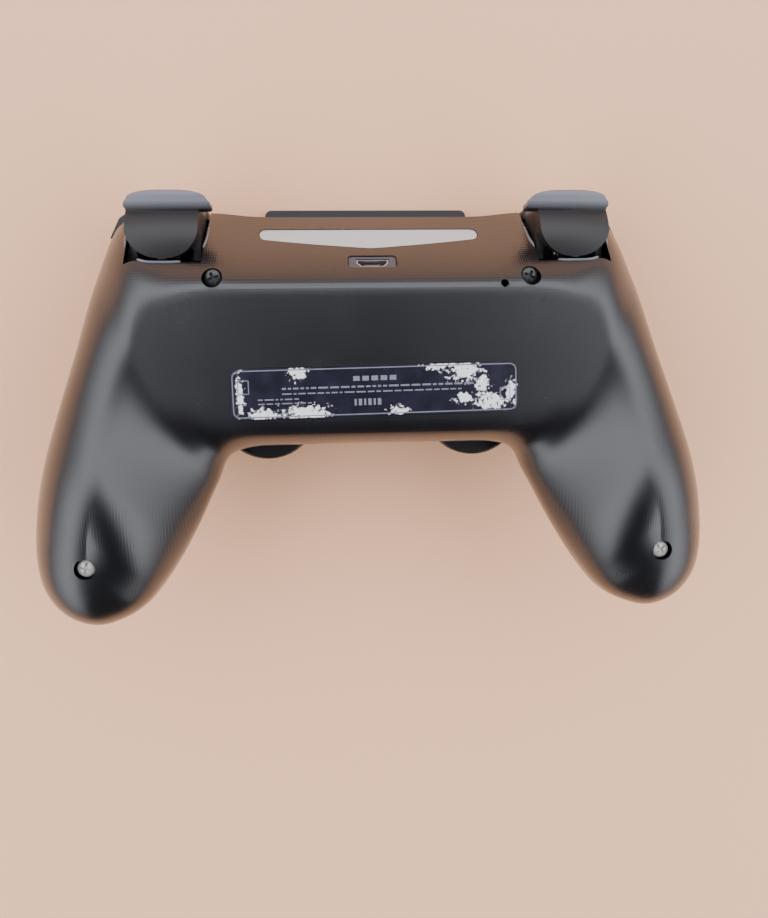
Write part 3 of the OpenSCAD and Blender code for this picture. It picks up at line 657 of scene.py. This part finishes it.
leftTrigger = cutters("triggerLeft", triggerSolid)
cut(leftTrigger, cutters("triggerPlanCutter", triggerPlan), keep=True)
cut(leftTrigger, cutters("triggerHollowCutter", triggerHollow))
cut(leftTrigger, cutters("triggerCornerCutter", triggerCorners))
cut(leftTrigger, cutters("triggerSideCutter", triggerSides))
cut(leftTrigger, cutters("triggerBoreCutter", triggerBore))
bevel(leftTrigger, 0.55, 3, 40)
bake(leftTrigger)
rightTrigger = mirrorObject(leftTrigger, "triggerRight")
for obj, hand in ((leftTrigger, "left"), (rightTrigger, "right")):
    smooth(obj, 40)
    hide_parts(hand + "_trigger")
    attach(obj, hand + "_trigger")
print("triggers")

# Screws: pan heads with a cross recess, the far pair clean and the near pair worn
screw = {"headR": 2.1, "shankR": 1.08, "turns": [20, 64, -12, 41]}
screwMesh = bmesh.new()
spots = [(side * s[0], s[1], s[2]) for s in (place["screwsFar"], place["screwsNear"]) for side in (-1, 1)]
for x, y, z in spots:
    r = screw["headR"]
    profile = [(screw["shankR"], z - 13), (screw["shankR"], z + 0.01), (r, z + 0.02), (r, z + 0.7),
               (r * 0.93, z + 1.1), (r * 0.75, z + 1.36), (r * 0.4, z + 1.5)]
    addTurned(screwMesh, profile, (x, y), 40)
screwPiece = fromBmesh("coverScrews", screwMesh)


def crossCuts(bm):
    for (x, y, z), turn in zip(spots, screw["turns"]):
        a = math.radians(turn)
        long, wide = 1.35, 0.34
        points = []
        for q in range(4):
            b = a + q * math.pi / 2
            for u, v in ((wide, -wide), (long, -wide), (long, wide)):
                points.append((x + u * math.cos(b) - v * math.sin(b), y + u * math.sin(b) + v * math.cos(b)))
        addPrism(bm, points, z + 0.7, z + 3)


cut(screwPiece, cutters("crossCutter", crossCuts))
smooth(screwPiece)
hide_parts("shell_screws")
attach(screwPiece, "case")

# Label with plain marks
label = {"at": (0, 4.6), "size": (66, 11.4), "turn": 0.8}
labelTurn = (Matrix.Translation((label["at"][0], label["at"][1], plan["backZ"]))
             @ Matrix.Rotation(math.radians(label["turn"]), 4, "Z"))


def labelSolid(name, outlines, low, high):
    bm = bmesh.new()
    for points in outlines:
        addPrism(bm, points, low, high)
    bm.transform(labelTurn)
    return fromBmesh(name, bm)


labelPiece = labelSolid("labelFilm", [roundedPoints((0, 0), *label["size"], 1.8)], 0.01, 0.1)
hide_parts("rating_label")
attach(labelPiece, "case")
marks = random.Random(4)
bars = []
# Each row of plain marks: height on the label, start, stop, thickness
rows = ((2.9, -5.2, 5.0, 1.1), (1.05, -21.5, 22, 0.42), (-0.15, -21.5, 19, 0.32), (-1.35, -27, -17.5, 0.32),
        (-2.3, -27, -15, 0.28))
for row, (y, start, stop, height) in enumerate(rows):
    x = start
    while x < stop:
        w = marks.uniform(0.5, 2.4) if row else 1.5
        bars.append(boxPoints((x + w / 2, y), w, height))
        x += w + (0.45 if row else 0.6)
for i in range(6):
    bars.append(boxPoints((-4.8 + 1.1 * i, -2.5), 0.5 + 0.3 * (i % 2), 1.5))
for x, y, r in ((-30.2, 1.6, 1.5), (30, -1.6, 1.4)):
    bars += [roundedPoints((x, y + s), r * 1.6, 0.22, 0.1) for s in (-r, r)]
    bars += [roundedPoints((x + s * 0.8, y), 0.22, r * 2, 0.1) for s in (-r, r)]
ringOut, ringIn = roundedPoints((0, 0), 65.4, 10.8, 1.6), roundedPoints((0, 0), 64.9, 10.3, 1.35)
for i in range(len(ringOut)):
    j = (i + 1) % len(ringOut)
    bars.append([ringOut[i], ringOut[j], ringIn[j], ringIn[i]])
marksPiece = labelSolid("labelMarks", bars, 0.08, 0.125)
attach(marksPiece, "case")
print("screws and label")


# Materials
def newMaterial(name):
    mat = bpy.data.materials.new(name)
    mat.use_nodes = True
    tree = mat.node_tree
    return mat, tree, tree.nodes["Principled BSDF"]


def link(tree, a, b):
    tree.links.new(a, b)


# Coordinates of a material in level millimetres
def levelCoords(tree):
    coords = tree.nodes.new("ShaderNodeTexCoord")
    turn = tree.nodes.new("ShaderNodeMapping")
    turn.vector_type = "POINT"
    turn.inputs["Rotation"].default_value = (lean, 0, 0)
    turn.inputs["Scale"].default_value = (1000, 1000, 1000)
    link(tree, coords.outputs["Object"], turn.inputs["Vector"])
    return turn.outputs["Vector"]


def mathNode(tree, operation, a, b=None, clamp=False):
    n = tree.nodes.new("ShaderNodeMath")
    n.operation, n.use_clamp = operation, clamp
    for i, v in enumerate((a, b)):
        if v is None:
            continue
        if isinstance(v, (int, float)):
            n.inputs[i].default_value = v
        else:
            link(tree, v, n.inputs[i])
    return n.outputs[0]


def noiseNode(tree, vector, scale, detail=3, rough=0.55):
    n = tree.nodes.new("ShaderNodeTexNoise")
    n.inputs["Scale"].default_value = scale
    n.inputs["Detail"].default_value = detail
    n.inputs["Roughness"].default_value = rough
    link(tree, vector, n.inputs["Vector"])
    return n.outputs["Fac"]


def rangeNode(tree, value, a, b, c, d):
    n = tree.nodes.new("ShaderNodeMapRange")
    for i, v in enumerate((a, b, c, d)):
        n.inputs[i + 1].default_value = v
    link(tree, value, n.inputs[0])
    return n.outputs[0]


def mixColor(tree, fac, a, b):
    n = tree.nodes.new("ShaderNodeMix")
    n.data_type = "RGBA"
    for i, v in ((6, a), (7, b)):
        if isinstance(v, tuple):
            n.inputs[i].default_value = (*v, 1)
        else:
            link(tree, v, n.inputs[i])
    link(tree, fac, n.inputs[0])
    return n.outputs[2]


def bumpNode(tree, height, strength, distance):
    n = tree.nodes.new("ShaderNodeBump")
    n.inputs["Strength"].default_value = strength
    n.inputs["Distance"].default_value = distance
    link(tree, height, n.inputs["Height"])
    return n.outputs["Normal"]


shellLook = {"color": (0.006, 0.006, 0.0075), "worn": (0.03, 0.03, 0.035), "grain": 0.6, "rough": 0.24}


# Dark plastic with a fine square grain and light wear
def shellMaterial():
    mat, tree, shader = newMaterial("shellPlastic")
    at = levelCoords(tree)
    split = tree.nodes.new("ShaderNodeSeparateXYZ")
    link(tree, at, split.inputs[0])
    waves = []
    for axis in (0, 1):
        turnRate = mathNode(tree, "MULTIPLY", split.outputs[axis], 2 * math.pi / shellLook["grain"])
        waves.append(mathNode(tree, "SINE", turnRate))
    grid = mathNode(tree, "MAXIMUM", waves[0], waves[1])
    wear = rangeNode(tree, noiseNode(tree, at, 0.05, 4, 0.6), 0.45, 0.75, 0, 1)
    dust = rangeNode(tree, noiseNode(tree, at, 1.4, 5, 0.7), 0.66, 0.8, 0, 0.5)
    both = mathNode(tree, "MULTIPLY", wear, dust)
    link(tree, mixColor(tree, both, shellLook["color"], shellLook["worn"]), shader.inputs["Base Color"])
    rough = mathNode(tree, "ADD", mathNode(tree, "MULTIPLY", wear, 0.06), shellLook["rough"])
    link(tree, rough, shader.inputs["Roughness"])
    link(tree, bumpNode(tree, grid, 0.5, 0.00003), shader.inputs["Normal"])
    shader.inputs["Specular IOR Level"].default_value = 0.6
    shader.inputs["Coat Weight"].default_value = 0.2
    shader.inputs["Coat Roughness"].default_value = 0.15
    return mat


def plainMaterial(name, color, rough, metal=0.0, grain=0.0, grainScale=1.5, coat=0.0):
    mat, tree, shader = newMaterial(name)
    shader.inputs["Metallic"].default_value = metal
    shader.inputs["Coat Weight"].default_value = coat
    at = levelCoords(tree)
    cloud = noiseNode(tree, at, 0.25, 4)
    dark = tuple(c * 0.88 for c in color)
    link(tree, mixColor(tree, cloud, color, dark), shader.inputs["Base Color"])
    link(tree, rangeNode(tree, cloud, 0.3, 0.7, rough - 0.03, rough + 0.05), shader.inputs["Roughness"])
    if grain:
        link(tree, bumpNode(tree, noiseNode(tree, at, grainScale, 3), grain, 0.0001), shader.inputs["Normal"])
    return mat


# The lip colour is a painted highlight laid over the lip band
triggerLook = {"color": (0.012, 0.01, 0.01), "lip": (0.15, 0.15, 0.17),
               "lipFrom": 46.4, "lipTo": 48.2, "rough": 0.44}


# Trigger plastic with a painted highlight: the colour turns pale towards the lip, standing in for the light
# the lip catches
def triggerMaterial():
    mat, tree, shader = newMaterial("triggerPlastic")
    at = levelCoords(tree)
    split = tree.nodes.new("ShaderNodeSeparateXYZ")
    link(tree, at, split.inputs[0])
    low, high = triggerLook["lipFrom"] - 7.8, triggerLook["lipTo"] - 7.8
    lipHighlightMask = rangeNode(tree, split.outputs[1], low, high, 0, 1)
    color = mixColor(tree, lipHighlightMask, triggerLook["color"], triggerLook["lip"])
    link(tree, color, shader.inputs["Base Color"])
    shader.inputs["Roughness"].default_value = triggerLook["rough"]
    shader.inputs["Specular IOR Level"].default_value = 0.4
    return mat


looks = {
    "trigger": triggerMaterial(),
    "bumper": plainMaterial("bumperPlastic", (0.013, 0.012, 0.013), 0.36),
    "face": plainMaterial("facePlastic", (0.02, 0.02, 0.024), 0.4, grain=0.1),
    "rubber": plainMaterial("stickRubber", (0.12, 0.095, 0.08), 0.62, grain=0.2),
    "steel": plainMaterial("platedSteel", (0.55, 0.55, 0.56), 0.3, 1.0),
    "screw": plainMaterial("screwHead", (0.06, 0.06, 0.06), 0.42, 0.8, grain=0.5),
    "inner": plainMaterial("innerPlastic", (0.03, 0.03, 0.034), 0.5),
    "hood": plainMaterial("hoodPlastic", (0.05, 0.055, 0.075), 0.4),
    "board": plainMaterial("boardLaminate", (0.02, 0.12, 0.06), 0.4),
    "battery": plainMaterial("batteryFilm", (0.03, 0.05, 0.12), 0.3),
    "wire": plainMaterial("wireInsulation", (0.4, 0.03, 0.03), 0.5),
    "shell": shellMaterial(),
}


def lightMaterial():
    mat, tree, shader = newMaterial("lightDiffuser")
    at = levelCoords(tree)
    cloud = noiseNode(tree, at, 0.12, 2)
    link(tree, mixColor(tree, cloud, (0.44, 0.44, 0.46), (0.49, 0.49, 0.49)), shader.inputs["Base Color"])
    link(tree, rangeNode(tree, cloud, 0.3, 0.7, 0.32, 0.4), shader.inputs["Roughness"])
    shader.inputs["Subsurface Weight"].default_value = 0.3
    shader.inputs["Subsurface Radius"].default_value = (0.002, 0.002, 0.002)
    return mat


looks["light"] = lightMaterial()
# Where the label's film has peeled to white: centre and half size, millimetres from the label's middle
peel = {
    "blobs": [(-31, -0.5, 1.8, 9), (-26, -5, 7, 2.6), (-16, -4.8, 10, 3.6), (-18, 4.6, 4, 3.4),
              (5.3, -5, 4, 2.2), (14, 5, 6, 1.8), (20.5, 3.8, 8, 4.4), (24.6, 0.6, 3, 4.6),
              (20.5, -2.6, 4.6, 2.4), (27, -3.6, 8, 3.2), (31.4, -1.4, 2.6, 5)],
    "film": (0.004, 0.004, 0.011), "film2": (0.012, 0.01, 0.024), "bare": (0.72, 0.72, 0.74),
}


def blobMask(tree, vector, x, y, rx, ry):
    spot = tree.nodes.new("ShaderNodeMapping")
    spot.vector_type = "TEXTURE"
    spot.inputs["Location"].default_value = (x + label["at"][0], y + label["at"][1] + 0.014 * x, 0)
    spot.inputs["Scale"].default_value = (rx, ry, 1e6)
    link(tree, vector, spot.inputs["Vector"])
    size = tree.nodes.new("ShaderNodeVectorMath")
    size.operation = "LENGTH"
    link(tree, spot.outputs["Vector"], size.inputs[0])
    return mathNode(tree, "SUBTRACT", 1.0, size.outputs["Value"], clamp=True)


def labelMaterial():
    mat, tree, shader = newMaterial("labelFilm")
    at = levelCoords(tree)
    shift = tree.nodes.new("ShaderNodeVectorMath")
    shift.operation = "SUBTRACT"
    shift.inputs[1].default_value = (0, place["restY"] * -math.cos(lean), 0)
    link(tree, at, shift.inputs[0])
    here = shift.outputs["Vector"]
    cover = None
    for blob in peel["blobs"]:
        mask = blobMask(tree, here, *blob)
        cover = mask if cover is None else mathNode(tree, "MAXIMUM", cover, mask)
    ragged = noiseNode(tree, at, 1.0, 8, 0.66)
    tear = mathNode(tree, "MULTIPLY", ragged, 2.2)
    score = mathNode(tree, "ADD", mathNode(tree, "MULTIPLY", cover, 0.9), tear)
    bare = rangeNode(tree, score, 1.58, 1.66, 0, 1)
    cloud = rangeNode(tree, noiseNode(tree, at, 0.3, 5), 0.4, 0.7, 0, 1)
    film = mixColor(tree, cloud, peel["film"], peel["film2"])
    link(tree, mixColor(tree, bare, film, peel["bare"]), shader.inputs["Base Color"])
    link(tree, rangeNode(tree, bare, 0, 1, 0.3, 0.6), shader.inputs["Roughness"])
    return mat


looks["label"] = labelMaterial()
looks["marks"] = plainMaterial("labelInk", (0.16, 0.16, 0.2), 0.45)
looks["wornScrew"] = plainMaterial("wornScrew", (0.62, 0.6, 0.56), 0.5, 0.55, grain=0.6, grainScale=3)
slotLooks = {"shell_plastic": "shell", "trigger_plastic": "trigger", "face_plastic": "face",
             "stick_rubber": "rubber", "light_diffuser": "light", "label_film": "inner",
             "plated_steel": "steel", "inner_plastic": "inner", "board_laminate": "board",
             "battery_film": "battery", "wire_insulation": "wire"}
nodeLooks = {"shell_screws": "screw", "usb_bezel": "hood", "left_bumper": "bumper", "right_bumper": "bumper"}
slotOf = {s["node"]: s["material_slot"] for s in frame["record"]["subparts"]}
for name, obj in nodes.items():
    obj.data.materials.clear()
    obj.data.materials.append(looks[nodeLooks.get(name, slotLooks[slotOf[name]])])
    smooth(obj, 28)
pieceLooks = {backPiece: "shell", frontPiece: "shell", rimPiece: "rim", lens: "light", leftTrigger: "trigger",
              rightTrigger: "trigger", labelPiece: "label", marksPiece: "marks", screwPiece: "screw"}
# Painted highlight: the rim tubes are coloured pale blue-grey for the light their edges catch
looks["rim"] = plainMaterial("rimPaintedHighlight", (0.12, 0.125, 0.15), 0.3, coat=0.2)
for piece, look in pieceLooks.items():
    piece.data.materials.clear()
    piece.data.materials.append(looks[look])
# The near pair of screws is worn pale
screwPiece.data.materials.append(looks["wornScrew"])
for face in screwPiece.data.polygons:
    if (levelToRow.inverted() @ face.center).y < 0:
        face.material_index = 1
print("materials")

# Table, light and camera
stage = {"floor": (0.99, 0.54, 0.31), "world": (0.96, 0.98, 1.05), "ceiling": (0.012, 0.011, 0.011),
         "worldPower": 3.75, "capScale": (1.96, 0.94, 0), "capShift": (-0.05, 0.42, 0),
         "capEdge": (0.84, 1.12), "horizon": (0.05, 0.6, 0.12, 1)}
floor = meshObject("table", [(-2, -2, 0), (2, -2, 0), (2, 2, 0), (-2, 2, 0)], [(0, 1, 2, 3)], level=False)
mat, tree, shader = newMaterial("tableTop")
coords = tree.nodes.new("ShaderNodeTexCoord")
cloud = noiseNode(tree, coords.outputs["Object"], 5, 3)
warm = stage["floor"]
link(tree, mixColor(tree, cloud, warm, tuple(c * 0.97 for c in warm)), shader.inputs["Base Color"])
link(tree, rangeNode(tree, cloud, 0.3, 0.7, 0.6, 0.7), shader.inputs["Roughness"])
floor.data.materials.append(mat)


# A bright room all round with a dark ceiling
def roomWorld():
    room = bpy.data.worlds.new("studio")
    room.use_nodes = True
    tree = room.node_tree
    coords = tree.nodes.new("ShaderNodeTexCoord")
    squash = tree.nodes.new("ShaderNodeMapping")
    squash.inputs["Location"].default_value = stage["capShift"]
    squash.inputs["Scale"].default_value = stage["capScale"]
    link(tree, coords.outputs["Generated"], squash.inputs["Vector"])
    away = tree.nodes.new("ShaderNodeVectorMath")
    away.operation = "LENGTH"
    link(tree, squash.outputs["Vector"], away.inputs[0])
    bright = rangeNode(tree, away.outputs["Value"], stage["capEdge"][0], stage["capEdge"][1], 0, 1)
    split = tree.nodes.new("ShaderNodeSeparateXYZ")
    link(tree, coords.outputs["Generated"], split.inputs[0])
    bright = mathNode(tree, "MULTIPLY", bright, rangeNode(tree, split.outputs[2], *stage["horizon"]))
    background = tree.nodes["Background"]
    link(tree, mixColor(tree, bright, stage["ceiling"], stage["world"]), background.inputs[0])
    background.inputs[1].default_value = stage["worldPower"]
    return room


bpy.context.scene.world = roomWorld()


def areaLight(name, at, target, size, power, color):
    data = bpy.data.lights.new(name, "AREA")
    data.shape, data.size, data.size_y = "RECTANGLE", size[0], size[1]
    data.energy, data.color = power, color
    obj = bpy.data.objects.new(name, data)
    obj.location = at
    obj.rotation_euler = (Vector(target) - Vector(at)).to_track_quat("-Z", "Y").to_euler()
    bpy.context.scene.collection.objects.link(obj)


areaLight("farWindow", (-0.05, 1.05, 0.55), (0, 0, 0.03), (1.3, 0.4), 2, (0.86, 0.92, 1.0))

# Camera, set level and turned with the controller
camera = bpy.data.cameras.new("camera")
camera.sensor_width, camera.lens = 36, 36 * 777.7 / 918
camera.clip_start, camera.clip_end = 0.01, 20
cameraObject = bpy.data.objects.new("camera", camera)
right = Vector((0.9971, -0.0151, 0.0752))
down = Vector((-0.0246, -0.9916, 0.1269))
ahead = Vector((0.0726, -0.1284, -0.9891))
axes = Matrix((right, -down, -ahead)).transposed()
turned = Matrix.Rotation(-lean, 3, "X") @ axes
spot = levelToRow @ Vector((-11.57, 11.91, 219.79))
cameraObject.matrix_world = Matrix.Translation(spot) @ turned.to_4x4()
bpy.context.scene.collection.objects.link(cameraObject)
bpy.context.scene.camera = cameraObject
print("table, light and camera")
